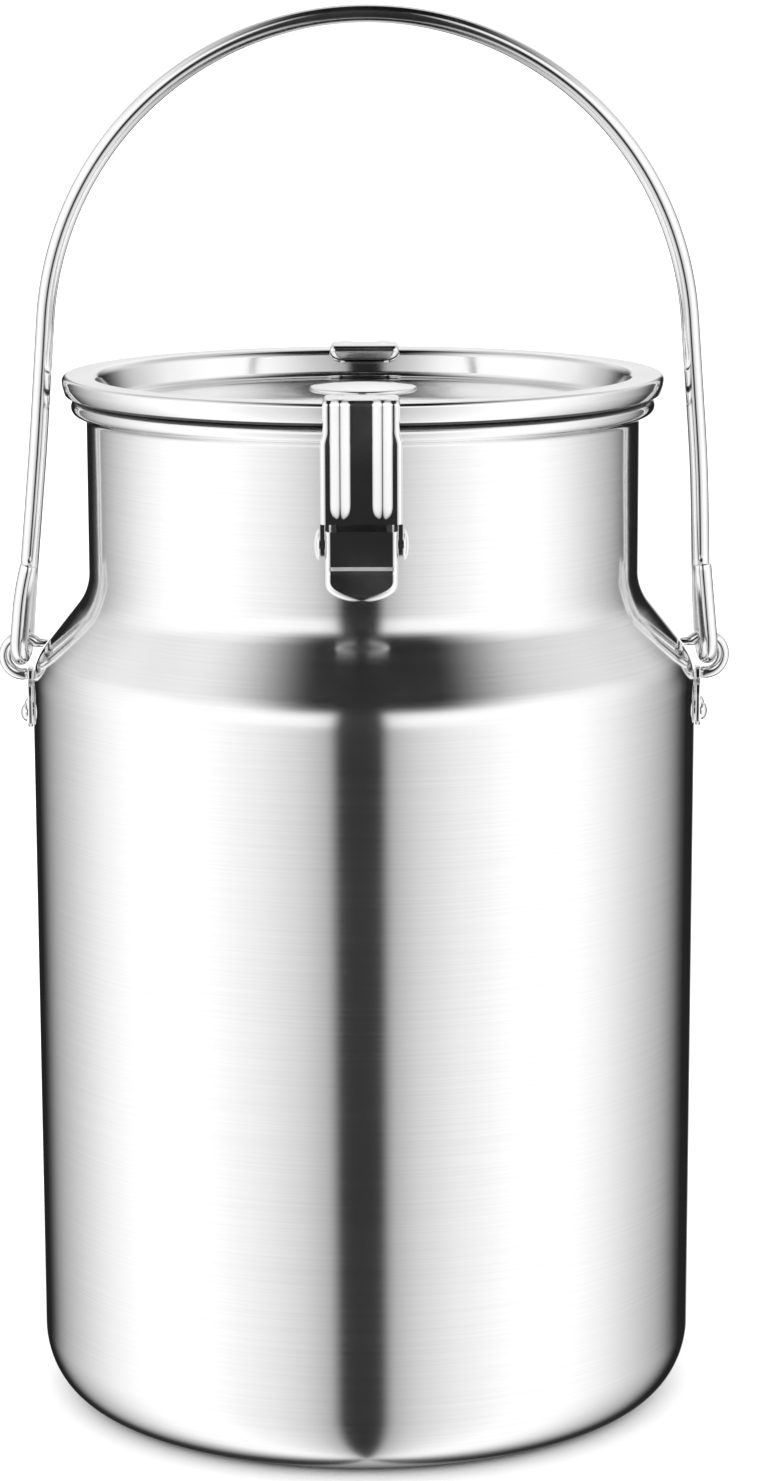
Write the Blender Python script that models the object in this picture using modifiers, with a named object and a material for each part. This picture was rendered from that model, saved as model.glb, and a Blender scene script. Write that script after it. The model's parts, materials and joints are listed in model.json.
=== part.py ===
"""Stainless milk can with a clamped lid: can, lid, knob, two toggle latches and a wire bail handle.

Lengths are written in millimetres and turned into metres when a shape is made.
The can stands on z = 0 around the Z axis. Its front latch faces -Y, its ears are on +X and -X.
"""
import math

import bmesh
import bpy
from mathutils import Matrix, Vector

MM = 0.001
OBJECT_NAME = "milk_can"
GAP = 0.3
MERGE_DISTANCE = 0.00001

# Can
ROUND_STEPS = 56
SMALL_STEPS = 16
BODY_RADIUS = 110.0
NECK_RADIUS = 90.8
WALL = 1.0
FOOT_IN = 81.0
FOOT_STEP = 2.5
FOOT_SLOPE = 5.0
CORNER_WIDTH = 16.5
CORNER_HEIGHT = 22.0
SHOULDER_LOW = 249.1
SHOULDER_HIGH = 273.3
SHOULDER_BEND = 18.5
SHOULDER_SLOPE = math.atan2(BODY_RADIUS - NECK_RADIUS, SHOULDER_HIGH - SHOULDER_LOW)
MOUTH_TOP = 336.9
BEAD_WIDTH = 2.5
BEAD_HEIGHT = 2.6
NECK_TOP = 329.2

# Lid, its gasket and its knob
LID_TOP = 344.5
LID_SHEET = 1.0
LID_FLANGE = 98.9
SKIRT_END = 338.4
SKIRT_BEND = 341.5
SKIRT_SHEET = 1.1
RECESS_FLOOR = 334.6
RECESS_FOOT = 84.6
RECESS_RIM = 88.2
RECESS_BEND = 2.0
RIM_BEND = 1.0
GASKET_IN = 89.5
STEP_RADIUS = 51.3
STEP_SLOPE = 0.9
SCREW_RADIUS = 1.9
SCREW_HOLE = 2.3
SCREW_HEAD = 4.3
SCREW_LOW = 330.6
SCREW_SEAT = 333.0
SCREW_END = 339.4
WASHER_RADIUS = 6.5
WASHER_SHEET = 1.0
KNOB_RADIUS = 17.9
KNOB_TOP = 341.3
KNOB_EDGE = 2.0
KNOB_NECK = (8.0, 337.3)
KNOB_FOOT = 7.0

# Ears and bail handle
BAIL_AXIS = (113.6, 257.0)
EAR_WIRE = 2.0
EAR_BEND = 6.2
EAR_BEND_OUT = 113.4
EAR_BEND_FROM = math.radians(150.0)
EAR_PLATE_IN = BODY_RADIUS + GAP
EAR_PLATE_OUT = EAR_PLATE_IN + 1.6
EAR_PLATE_HALF = 11.0
EAR_PLATE_LOW = 227.5
EAR_PLATE_TOP = 243.2
EAR_TONGUE_HALF = 3.4
EAR_TONGUE_TOP = 247.0
EAR_RIVET_SIDE = 6.2
EAR_RIVET_HEIGHT = 232.8
EAR_RIVET_SHANK = 1.4
EAR_RIVET_HEAD = 3.0
EAR_RIVET_STAND = 2.0
BAIL_WIRE = 3.0
BAIL_LEAN = math.radians(4.45)
ARCH_RADIUS = 105.8
ARCH_CENTRE = 354.2
EYE_RADIUS = 6.4
EYE_TAPER = math.radians(7.0)
EYE_YAW = 0.5
TAIL_LENGTH = 24.5
TAIL_CURL_START = 9.0
LEFT_TAIL_CURL = 1.4
LEG_START = 10.0
LEG_STRAIGHT = 70.0
BAIL_SKEW = 1.6

# Latches: side view as (distance out from the can's axis, height)
LEVER_PIVOT = (97.0, 310.0)
HOOK_PIVOT = (97.4, 301.0)
PIN_RADIUS = 1.5
PIN_HOLE = 1.8
PIN_HEAD = 4.9
PIN_HEAD_IN = 13.0
PIN_HEAD_OUT = 14.6
LEVER_PIN_HALF = 11.0
BRACKET_PLATE = (91.2, 92.4)
BRACKET_HALF = 9.4
BRACKET_HEIGHT = (288.0, 317.0)
BRACKET_EAR = (7.8, 9.2)
LEVER_CHEEK = (9.8, 11.0)
CHEEK_ROUND = 2.5
CHEEK_WAIST = (94.0, 298.0)
LEVER_FACE = 101.2
LEVER_TOP = 305.4
LEVER_CREASE = 293.2
LEVER_HALF = 10.7
TAB_END = (105.2, 284.9)
TAB_ROUND = 6.0
SHEET = 1.2
HOOK_FACE = 100.6
HOOK_CLAW = 84.6
HOOK_TOP = 345.35
HOOK_END = 307.6
CLAW_END = 340.9
HOOK_BEND = 2.0
HOOK_HALF = 11.5
FLANGE_TOP = 331.0
FLANGE_BEND = 321.0
FLANGE_LOW = 298.5
CLAW_HALF = 8.4
CLAW_ROUND = 3.4
RIB_CENTRE = 6.5
RIB_HALF = 3.3
RIB_HEIGHT = 1.3
RIB_TOP_SHARE = 0.3
RIB_ON_TOP = (85.6, 92.6)
RIB_FADE = 313.0
RIB_END = 309.6
HOOK_FLANGE = (11.3, 12.7)

STEEL_SATIN = ("satin_steel", (0.62, 0.62, 0.63, 1.0), 0.32, 1.0)
STEEL_BRIGHT = ("bright_steel", (0.72, 0.72, 0.73, 1.0), 0.12, 1.0)
SILICONE = ("grey_silicone", (0.30, 0.30, 0.31, 1.0), 0.6, 0.0)


# Outlines


def arc(centre, size, first, last, steps):
    """Points on an ellipse, from one angle to another in degrees."""
    points = []
    for step in range(steps + 1):
        angle = math.radians(first + (last - first) * step / steps)
        points.append((centre[0] + size[0] * math.cos(angle), centre[1] + size[1] * math.sin(angle)))
    return points


def rounded(corners, steps=2):
    """Outline through (first, second, bend radius) corners, each bend drawn as an arc."""
    outline = []
    for index, (first, second, bend) in enumerate(corners):
        if bend == 0.0:
            outline.append((first, second))
            continue
        here = Vector((first, second))
        before = (Vector(corners[index - 1][:2]) - here).normalized()
        after = (Vector(corners[(index + 1) % len(corners)][:2]) - here).normalized()
        half = before.angle(after) / 2.0
        centre = here + (before + after).normalized() * (bend / math.sin(half))
        start = here + before * (bend / math.tan(half)) - centre
        turn = start.angle_signed(here + after * (bend / math.tan(half)) - centre)
        for step in range(steps + 1):
            outline.append(tuple(centre + Matrix.Rotation(-turn * step / steps, 2) @ start))
    return outline


def running_down(outline):
    """The outline in the order that turns into a solid with its faces pointing out."""
    doubled_area = 0.0
    for (first, second), (third, fourth) in zip(outline, outline[1:] + outline[:1]):
        doubled_area += first * fourth - third * second
    return outline[::-1] if doubled_area > 0.0 else outline


def smooth(value, low, high):
    share = min(max((value - low) / (high - low), 0.0), 1.0)
    return share * share * (3.0 - 2.0 * share)


# Shapes


def clear_scene():
    for item in list(bpy.data.objects):
        bpy.data.objects.remove(item, do_unlink=True)


def new_collection(name):
    group = bpy.data.collections.new(name)
    bpy.context.scene.collection.children.link(group)
    return group


def material_for(look):
    name, colour, roughness, metallic = look
    material = bpy.data.materials.get(name)
    if material is None:
        material = bpy.data.materials.new(name)
        material.use_nodes = True
        shader = material.node_tree.nodes["Principled BSDF"]
        shader.inputs["Base Color"].default_value = colour
        shader.inputs["Roughness"].default_value = roughness
        shader.inputs["Metallic"].default_value = metallic
        material.diffuse_color = colour
    return material


def new_item(name, data, look, group, place):
    data.materials.append(material_for(look))
    item = bpy.data.objects.new(name, data)
    item.matrix_world = place
    group.objects.link(item)
    return item


def turned_piece(name, outline, look, group, steps=ROUND_STEPS, place=Matrix.Identity(4)):
    """Solid turned around its Z axis from a closed outline of (radius, height) points."""
    points = [(radius * MM, 0.0, height * MM) for radius, height in running_down(outline)]
    edges = [(index, (index + 1) % len(points)) for index in range(len(points))]
    on_axis = [index for index, point in enumerate(points) if point[0] < MERGE_DISTANCE]
    edges = [edge for edge in edges if not (edge[0] in on_axis and edge[1] in on_axis)]
    mesh = bpy.data.meshes.new(name)
    mesh.from_pydata(points, edges, [])
    item = new_item(name, mesh, look, group, place)
    screw = item.modifiers.new("turn", "SCREW")
    screw.axis = "Z"
    screw.steps = steps
    screw.render_steps = steps
    screw.use_merge_vertices = True
    screw.merge_threshold = MERGE_DISTANCE
    return item


def wire(name, points, radius, look, group, resolution, place=Matrix.Identity(4), origin=(0.0, 0.0, 0.0)):
    """Round wire along a path, closed by a flat cap at each end."""
    curve = bpy.data.curves.new(name, "CURVE")
    curve.dimensions = "3D"
    curve.bevel_depth = radius * MM
    curve.bevel_resolution = resolution
    curve.use_fill_caps = True
    spline = curve.splines.new("POLY")
    spline.points.add(len(points) - 1)
    for station, point in zip(spline.points, points):
        spot = (Vector(point) - Vector(origin)) * MM
        station.co = (spot.x, spot.y, spot.z, 1.0)
    return new_item(name, curve, look, group, place @ Matrix.Translation(Vector(origin) * MM))


def flat_piece(name, outline, thickness, look, group, place):
    """Flat piece: a filled outline extruded both ways from its own plane, made into a mesh."""
    curve = bpy.data.curves.new(name, "CURVE")
    curve.dimensions = "2D"
    curve.fill_mode = "BOTH"
    curve.extrude = thickness * MM / 2.0
    spline = curve.splines.new("POLY")
    spline.points.add(len(outline) - 1)
    spline.use_cyclic_u = True
    for station, (first, second) in zip(spline.points, outline):
        station.co = (first * MM, second * MM, 0.0, 1.0)
    drawn = bpy.data.objects.new(name, curve)
    bpy.context.scene.collection.objects.link(drawn)
    depsgraph = bpy.context.evaluated_depsgraph_get()
    mesh = bpy.data.meshes.new_from_object(drawn.evaluated_get(depsgraph))
    bpy.data.objects.remove(drawn, do_unlink=True)
    made = bmesh.new()
    made.from_mesh(mesh)
    bmesh.ops.remove_doubles(made, verts=made.verts, dist=MERGE_DISTANCE)
    bmesh.ops.recalc_face_normals(made, faces=made.faces)
    made.to_mesh(mesh)
    made.free()
    mesh.name = name
    return new_item(name, mesh, look, group, place)


def bent_sheet(name, path, stations, half_width, lift, group, place, origin):
    """Sheet bent along a side view path, with a half width and a pressed lift given by functions."""
    rows = len(path) - 1
    columns = len(stations) - 1
    made = bmesh.new()
    bmesh.ops.create_grid(made, x_segments=columns, y_segments=rows, size=1.0)
    for vertex in made.verts:
        row = round((vertex.co.y + 1.0) / 2.0 * rows)
        column = round((vertex.co.x + 1.0) / 2.0 * columns)
        before = Vector(path[max(row - 1, 0)])
        after = Vector(path[min(row + 1, rows)])
        along = (after - before).normalized()
        out, height = path[row]
        sideways = stations[column] * half_width(out, height)
        rise = lift(out, height, sideways)
        spot = (out - along.y * rise - origin[0], height + along.x * rise - origin[1], sideways)
        vertex.co = Vector(spot) * MM
    bmesh.ops.recalc_face_normals(made, faces=made.faces)
    mesh = bpy.data.meshes.new(name)
    made.to_mesh(mesh)
    made.free()
    item = new_item(name, mesh, STEEL_BRIGHT, group, place)
    sheet = item.modifiers.new("sheet", "SOLIDIFY")
    sheet.thickness = SHEET * MM
    sheet.offset = 0.0
    sheet.use_even_offset = True
    return item


def combine(target, operand, operation, cutters):
    """Add a Boolean modifier whose operand is kept, hidden, among the cutters."""
    operand.hide_render = True
    operand.display_type = "WIRE"
    modifier = target.modifiers.new(operand.name, "BOOLEAN")
    modifier.operation = operation
    modifier.solver = "EXACT"
    modifier.object = operand
    if operand.name not in cutters.objects:
        cutters.objects.link(operand)


# Can and lid


def can_side(inset):
    """Side of the can from its foot to the top of its neck, set in from the outside."""
    side = arc((BODY_RADIUS - CORNER_WIDTH, CORNER_HEIGHT),
               (CORNER_WIDTH - inset, CORNER_HEIGHT - inset), -90.0, 0.0, 6)
    drop = inset * math.tan(SHOULDER_SLOPE / 2.0)
    return side + rounded([
        (BODY_RADIUS - inset, CORNER_HEIGHT, 0.0),
        (BODY_RADIUS - inset, SHOULDER_LOW - drop, SHOULDER_BEND - inset),
        (NECK_RADIUS - inset, SHOULDER_HIGH - drop, SHOULDER_BEND + inset),
        (NECK_RADIUS - inset, NECK_TOP, 0.0),
    ], 3)[1:]


def can_outline():
    base = [(0.0, FOOT_STEP), (FOOT_IN - FOOT_SLOPE, FOOT_STEP), (FOOT_IN, 0.0)]
    bead_centre = (NECK_RADIUS + BEAD_WIDTH, MOUTH_TOP - BEAD_HEIGHT)
    bead = arc(bead_centre, (BEAD_WIDTH, BEAD_HEIGHT), -90.0, 90.0, 4)
    mouth = [(NECK_RADIUS + WALL / 4.0, MOUTH_TOP), (NECK_RADIUS - WALL, MOUTH_TOP - WALL)]
    inner_base = [(radius, height + WALL) for radius, height in reversed(base)]
    return base + can_side(0.0) + bead + mouth + can_side(WALL)[::-1] + inner_base


def lid_under(sheet):
    """Lower side of the lid's dished middle, or its upper side with the sheet's thickness added."""
    floor = RECESS_FLOOR - LID_SHEET + sheet
    corner = RECESS_BEND + LID_SHEET - sheet
    return [(SCREW_HOLE, floor + LID_SHEET), (STEP_RADIUS - STEP_SLOPE, floor + LID_SHEET),
            (STEP_RADIUS + STEP_SLOPE, floor)] + rounded([
                (STEP_RADIUS + STEP_SLOPE, floor, 0.0),
                (RECESS_FOOT + LID_SHEET - sheet, floor, corner),
                (RECESS_RIM + LID_SHEET - sheet, LID_TOP - LID_SHEET + sheet, RIM_BEND + sheet),
                (LID_FLANGE, LID_TOP - LID_SHEET + sheet, 0.0),
            ])[1:-1]


def lid_outline():
    """Dished sheet with a flat rim, and a skirt that narrows a little below its widest point."""
    inside = LID_FLANGE - SKIRT_SHEET
    skirt = rounded([
        (RECESS_RIM, LID_TOP, 0.0), (LID_FLANGE, LID_TOP, 1.5), (LID_FLANGE, SKIRT_BEND, 2.0),
        (inside, SKIRT_END, 0.0), (inside - 0.7, SKIRT_END + 0.4, 0.0),
        (inside, SKIRT_BEND, 1.0), (inside, LID_TOP - LID_SHEET, 0.5),
        (RECESS_RIM, LID_TOP - LID_SHEET, 0.0),
    ])[1:-1]
    return lid_under(LID_SHEET) + skirt + lid_under(0.0)[::-1]


def gasket_outline():
    low = MOUTH_TOP + GAP
    high = LID_TOP - LID_SHEET - GAP
    outer = LID_FLANGE - SKIRT_SHEET - 3.0 * GAP
    return rounded([
        (GASKET_IN, low, 0.5), (outer - 2.0 * GAP, low, 0.6), (outer, high - 2.2, 1.0),
        (outer, high, 0.0), (GASKET_IN, high, 0.5),
    ], 1)


def knob_outline():
    """Low round knob with a rolled edge on a short neck, bored for its screw."""
    foot = RECESS_FLOOR + LID_SHEET + GAP
    bore = SCREW_RADIUS + GAP
    bore_top = SCREW_END + GAP
    crown = arc((0.0, KNOB_TOP - KNOB_EDGE), (KNOB_RADIUS, KNOB_EDGE), 90.0, 0.0, 5)
    under = rounded([
        (KNOB_RADIUS - 0.4, KNOB_TOP - KNOB_EDGE - 0.6, 0.0), (KNOB_NECK[0], KNOB_NECK[1], 3.0),
        (KNOB_FOOT, foot + 0.6, 0.0), (KNOB_FOOT, foot, 0.0),
    ])
    return crown + under + [(bore, foot), (bore, bore_top), (0.0, bore_top)]


def screw_outline():
    """Screw seen from the axis, with a domed head below the washer."""
    edge = 0.6
    tip = 0.4
    head = arc((0.0, SCREW_SEAT - edge), (SCREW_HEAD, SCREW_SEAT - edge - SCREW_LOW), -90.0, 0.0, 3)
    return head + [(SCREW_HEAD, SCREW_SEAT), (SCREW_RADIUS, SCREW_SEAT), (SCREW_RADIUS, SCREW_END - tip),
                   (SCREW_RADIUS - tip, SCREW_END), (0.0, SCREW_END)]


def build_can(group, cutters):
    can = turned_piece("can_body", can_outline(), STEEL_SATIN, group)
    for side, facing in EAR_SIDES:
        for which, angle in rivet_angles(facing):
            name = "wall_hole_{}_{}".format(side, which)
            combine(can, ear_hole(name, angle, cutters), "DIFFERENCE", cutters)


def build_lid(group):
    turned_piece("lid", lid_outline(), STEEL_BRIGHT, group)
    turned_piece("lid_gasket", gasket_outline(), SILICONE, group)
    turned_piece("lid_knob", knob_outline(), STEEL_BRIGHT, group, 32)
    washer_top = RECESS_FLOOR - GAP
    washer_low = washer_top - WASHER_SHEET
    washer = rounded([
        (SCREW_HOLE, washer_low, 0.0), (WASHER_RADIUS, washer_low, 0.3), (WASHER_RADIUS, washer_top, 0.3),
        (SCREW_HOLE, washer_top, 0.0),
    ], 1)
    turned_piece("knob_washer", washer, STEEL_BRIGHT, group, 28)
    turned_piece("knob_screw", screw_outline(), STEEL_BRIGHT, group, 24)


# Ears and bail handle

EAR_SIDES = [("right", 0.0), ("left", math.pi)]


def rivet_angles(facing):
    """The two rivets of an ear with their angles around the can, the front one on the -Y side."""
    swing = math.asin(EAR_RIVET_SIDE / BODY_RADIUS) * math.cos(facing)
    return [("front", facing - swing), ("rear", facing + swing)]


def rivet_place(angle):
    """Lay a Z-turned piece along the can's radius, at an angle around the can."""
    rise = Matrix.Translation((0.0, 0.0, EAR_RIVET_HEIGHT * MM))
    return Matrix.Rotation(angle, 4, "Z") @ rise @ Matrix.Rotation(math.radians(90.0), 4, "Y")


def ear_hole(name, angle, cutters):
    radius = EAR_RIVET_SHANK + GAP
    near = BODY_RADIUS - 5.0
    far = EAR_PLATE_OUT + 4.0
    outline = [(0.0, near), (radius, near), (radius, far), (0.0, far)]
    return turned_piece(name, outline, STEEL_SATIN, cutters, SMALL_STEPS, rivet_place(angle))


def rivet_outline():
    """Rivet with a domed head outside the ear plate and a flat one inside the can's wall."""
    seat = EAR_PLATE_OUT + GAP
    inside = BODY_RADIUS - WALL - GAP
    dome = arc((0.0, seat), (EAR_RIVET_HEAD, EAR_RIVET_STAND), 90.0, 0.0, 4)
    return dome + [(EAR_RIVET_SHANK, seat), (EAR_RIVET_SHANK, inside), (EAR_RIVET_HEAD - 0.4, inside),
                   (EAR_RIVET_HEAD - 0.8, inside - 0.9), (0.0, inside - 0.9)]


def ear_plate_outline():
    """Half-round ended plate with a tongue that the loop's lower end is welded to, seen from outside."""
    return rounded([
        (-EAR_PLATE_HALF, EAR_PLATE_LOW, 4.5), (EAR_PLATE_HALF, EAR_PLATE_LOW, 4.5),
        (EAR_PLATE_HALF, EAR_PLATE_TOP, 3.5), (EAR_TONGUE_HALF + 0.6, EAR_PLATE_TOP, 0.6),
        (EAR_TONGUE_HALF, EAR_TONGUE_TOP, 0.5), (-EAR_TONGUE_HALF, EAR_TONGUE_TOP, 0.5),
        (-EAR_TONGUE_HALF - 0.6, EAR_PLATE_TOP, 0.6), (-EAR_PLATE_HALF, EAR_PLATE_TOP, 3.5),
    ])


def build_ear_plate(side, facing, group, cutters):
    """Part of a ring around the can, kept where the plate's outline passes through it."""
    margin = 2.0
    low = EAR_PLATE_LOW - margin
    high = EAR_TONGUE_TOP + margin
    ring = [(EAR_PLATE_IN, low), (EAR_PLATE_OUT, low), (EAR_PLATE_OUT, high), (EAR_PLATE_IN, high)]
    turn = Matrix.Rotation(facing, 4, "Z")
    plate = turned_piece("ear_plate_" + side, ring, STEEL_BRIGHT, group, 3 * ROUND_STEPS, turn)
    face_out = Matrix.Rotation(math.radians(90.0), 4, "Z") @ Matrix.Rotation(math.radians(90.0), 4, "X")
    middle = Matrix.Translation((EAR_PLATE_OUT * MM, 0.0, 0.0))
    place = turn @ middle @ face_out
    shape = flat_piece("ear_shape_" + side, ear_plate_outline(), 10.0, STEEL_BRIGHT, cutters, place)
    combine(plate, shape, "INTERSECT", cutters)
    return plate


def ear_loop_path():
    """Round bend of the loop, from its inner end above the shoulder to the ear plate below."""
    centre = (EAR_BEND_OUT, BAIL_AXIS[1] - EAR_BEND)
    bend = arc(centre, (EAR_BEND, EAR_BEND), math.degrees(EAR_BEND_FROM), -90.0, 16)
    bend.append((EAR_PLATE_OUT + GAP, BAIL_AXIS[1] - 2.0 * EAR_BEND))
    return [(out, 0.0, height) for out, height in bend]


def build_ear(side, facing, group, cutters):
    plate = build_ear_plate(side, facing, group, cutters)
    for which, angle in rivet_angles(facing):
        hole = ear_hole("plate_hole_{}_{}".format(side, which), angle, cutters)
        combine(plate, hole, "DIFFERENCE", cutters)
        name = "ear_rivet_{}_{}".format(side, which)
        turned_piece(name, rivet_outline(), STEEL_BRIGHT, group, SMALL_STEPS, rivet_place(angle))
    turn = Matrix.Rotation(facing, 4, "Z")
    wire("ear_loop_" + side, ear_loop_path(), EAR_WIRE, STEEL_BRIGHT, group, 4, turn)


def eye_point(along, across, skew=0.0):
    """A point of one eye or leg: along the leg and across it, measured from the hinge."""
    out = BAIL_AXIS[0] - along * math.sin(BAIL_LEAN) - EYE_YAW * across / EYE_RADIUS
    out += skew * smooth(along, 0.0, LEG_STRAIGHT)
    return (out, across, BAIL_AXIS[1] + along * math.cos(BAIL_LEAN))


def leg_across(along):
    """How far a leg runs from the middle: straight off the eye, then easing into line with the hinge."""
    straight = EYE_RADIUS / math.cos(EYE_TAPER) - along * math.tan(EYE_TAPER)
    softness = 0.95
    return (straight + math.hypot(straight, softness)) / 2.0


def bail_half_path(skew, curl):
    """Tail, eye and leg of one side, ending where the arch begins."""
    path = []
    tail_steps = 5
    for step in range(tail_steps):
        along = TAIL_LENGTH * (1.0 - step / tail_steps)
        bent = max(along - TAIL_CURL_START, 0.0) / (TAIL_LENGTH - TAIL_CURL_START)
        across = along * math.tan(EYE_TAPER) - EYE_RADIUS / math.cos(EYE_TAPER)
        out, across, height = eye_point(along, across)
        path.append((out - curl * bent * bent, across, height))
    taper = math.degrees(EYE_TAPER)
    for across, along in arc((0.0, 0.0), (EYE_RADIUS, EYE_RADIUS), 180.0 - taper, 360.0 + taper, 14):
        path.append(eye_point(along, across))
    leg_steps = 8
    for step in range(leg_steps + 1):
        along = LEG_START + (LEG_STRAIGHT - LEG_START) * step / leg_steps
        across = leg_across(along) if step < leg_steps else 0.0
        path.append(eye_point(along, across, skew))
    return path


def build_bail(group):
    """Bail bent a little to one side, its left tail curling in towards the leg."""
    lean = math.degrees(BAIL_LEAN)
    bend = arc((BAIL_SKEW, ARCH_CENTRE), (ARCH_RADIUS, ARCH_RADIUS), lean, 180.0 - lean, 44)
    arch = [(out, 0.0, height) for out, height in bend]
    left = [(-out, across, height) for out, across, height in bail_half_path(-BAIL_SKEW, LEFT_TAIL_CURL)]
    path = bail_half_path(BAIL_SKEW, 0.0) + arch + left[::-1]
    wire("bail_handle", path, BAIL_WIRE, STEEL_BRIGHT, group, 3, origin=(0.0, 0.0, BAIL_AXIS[1]))


# Latches


def latch_place(pivot, facing, sideways=0.0):
    """Put a side view drawn around a pivot, as (out, height), at its place on the can."""
    out = Vector((0.0, -facing, 0.0))
    up = Vector((0.0, 0.0, 1.0))
    turn = Matrix((out, up, out.cross(up))).transposed().to_4x4()
    centre = Vector((0.0, -pivot[0] * facing, pivot[1])) * MM
    return Matrix.Translation(centre) @ turn @ Matrix.Translation((0.0, 0.0, sideways * MM))


def around(pivot, outline):
    return [(out - pivot[0], height - pivot[1]) for out, height in outline]


def cross_pin(name, outline, pivot, facing, group):
    return turned_piece(name, outline, STEEL_BRIGHT, group, SMALL_STEPS, latch_place(pivot, facing))


def pin_hole(name, pivot, facing, cutters):
    end = PIN_HEAD_OUT + 1.0
    outline = [(0.0, -end), (PIN_HOLE, -end), (PIN_HOLE, end), (0.0, end)]
    return cross_pin(name, outline, pivot, facing, cutters)


def add_cheeks(name, item, outline, span, pivot, facing, cutters):
    """Join a pair of matching side pieces to a latch part."""
    middle = (span[0] + span[1]) / 2.0
    for side, sign in (("one", 1.0), ("other", -1.0)):
        place = latch_place(pivot, facing, sign * middle)
        flat = around(pivot, outline)
        cheek_name = "{}_{}".format(name, side)
        cheek = flat_piece(cheek_name, flat, span[1] - span[0], STEEL_BRIGHT, cutters, place)
        combine(item, cheek, "UNION", cutters)


def build_bracket(label, facing, group, cutters):
    """Plate on the neck with two ears that carry the lever's pin."""
    low, high = BRACKET_HEIGHT
    inner, outer = BRACKET_PLATE
    plate = around(LEVER_PIVOT, [(inner, low), (outer, low), (outer, high), (inner, high)])
    place = latch_place(LEVER_PIVOT, facing)
    name = label + "_latch_bracket"
    bracket = flat_piece(name, plate, 2.0 * BRACKET_HALF, STEEL_BRIGHT, group, place)
    root = (inner + outer) / 2.0
    out, height = LEVER_PIVOT
    ear = rounded([
        (root, height - 7.0, 0.0), (out - 1.4, height - 2.2, 0.0), (out + 2.4, height - 2.2, 2.2),
        (out + 2.4, height + 2.4, 2.2), (out - 1.0, height + 2.6, 0.0), (root, height + 5.0, 0.0),
    ])
    add_cheeks(label + "_bracket_ear", bracket, ear, BRACKET_EAR, LEVER_PIVOT, facing, cutters)
    combine(bracket, pin_hole(label + "_bracket_hole", LEVER_PIVOT, facing, cutters), "DIFFERENCE", cutters)


def lever_half_width(out, height):
    """Half the lever's width: even down to the tab, whose end is half an ellipse."""
    below = max(TAB_END[1] + TAB_ROUND - height, 0.0) / TAB_ROUND
    return LEVER_HALF * math.sqrt(max(1.0 - below * below, 0.02))


def no_lift(out, height, sideways):
    return 0.0


def build_lever(label, facing, group, cutters):
    """Face and flared finger tab bent from one sheet, with a cheek on each side."""
    tab_steps = 6
    path = [(LEVER_FACE, LEVER_TOP), (LEVER_FACE, LEVER_CREASE + 2.0), (LEVER_FACE, LEVER_CREASE)]
    for step in range(1, tab_steps + 1):
        share = math.sin(math.radians(90.0) * step / tab_steps)
        path.append((LEVER_FACE + (TAB_END[0] - LEVER_FACE) * share,
                     LEVER_CREASE + (TAB_END[1] - LEVER_CREASE) * share))
    place = latch_place(LEVER_PIVOT, facing)
    name = label + "_latch_lever"
    stations = [-1.0, -0.5, 0.0, 0.5, 1.0]
    lever = bent_sheet(name, path, stations, lever_half_width, no_lift, group, place, LEVER_PIVOT)
    out, height = LEVER_PIVOT
    front = LEVER_FACE + SHEET / 3.0
    cheek = rounded([
        (out + CHEEK_ROUND, LEVER_TOP, 0.0), (out + CHEEK_ROUND, height + CHEEK_ROUND, 2.4),
        (out - CHEEK_ROUND, height + CHEEK_ROUND, 2.4), (CHEEK_WAIST[0], CHEEK_WAIST[1], 3.0),
        (front - 2.8, LEVER_CREASE + 0.6, 0.0), (front, LEVER_CREASE + 0.3, 0.0),
        (front, LEVER_TOP, 0.0),
    ])
    add_cheeks(label + "_lever_cheek", lever, cheek, LEVER_CHEEK, LEVER_PIVOT, facing, cutters)
    for end, pivot in (("upper", LEVER_PIVOT), ("lower", HOOK_PIVOT)):
        hole = pin_hole("{}_lever_hole_{}".format(label, end), pivot, facing, cutters)
        combine(lever, hole, "DIFFERENCE", cutters)


def hook_path():
    """Side view of the hook's sheet: claw, top, and front face with stations close where its ribs end."""
    path = rounded([
        (HOOK_CLAW, CLAW_END, 0.0), (HOOK_CLAW, CLAW_END + CLAW_ROUND / 2.0, 0.0),
        (HOOK_CLAW, HOOK_TOP, HOOK_BEND), (sum(RIB_ON_TOP) / 2.0, HOOK_TOP, 0.0),
        (HOOK_FACE, HOOK_TOP, HOOK_BEND), (HOOK_FACE, FLANGE_TOP, 0.0), (HOOK_FACE, RIB_FADE + 3.0, 0.0),
    ], 2)
    for share in (0.05, 0.5, 0.8, 1.0):
        path.append((HOOK_FACE, RIB_FADE + (RIB_END - RIB_FADE) * share))
    return path + [(HOOK_FACE, HOOK_END)]


def hook_half_width(out, height):
    """Half the hook's width: even, apart from the claw's rounded lower corners."""
    if out > HOOK_CLAW + 0.1:
        return HOOK_HALF
    rise = min((height - CLAW_END) / CLAW_ROUND, 1.0)
    return CLAW_HALF + (HOOK_HALF - CLAW_HALF) * math.sqrt(1.0 - (1.0 - rise) * (1.0 - rise))


def rib_lift(out, height, sideways):
    """How far a pressed rib stands proud: full height on the face, low on top, none at the claw."""
    distance = min(abs(abs(sideways) - RIB_CENTRE) / RIB_HALF, 1.0)
    rise = RIB_HEIGHT * (1.0 + math.cos(math.pi * distance)) / 2.0
    on_top = smooth(height, HOOK_TOP - 1.5, HOOK_TOP)
    share = 1.0 + (RIB_TOP_SHARE - 1.0) * on_top
    return rise * share * smooth(out, *RIB_ON_TOP) * smooth(height, RIB_END, RIB_FADE)


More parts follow.
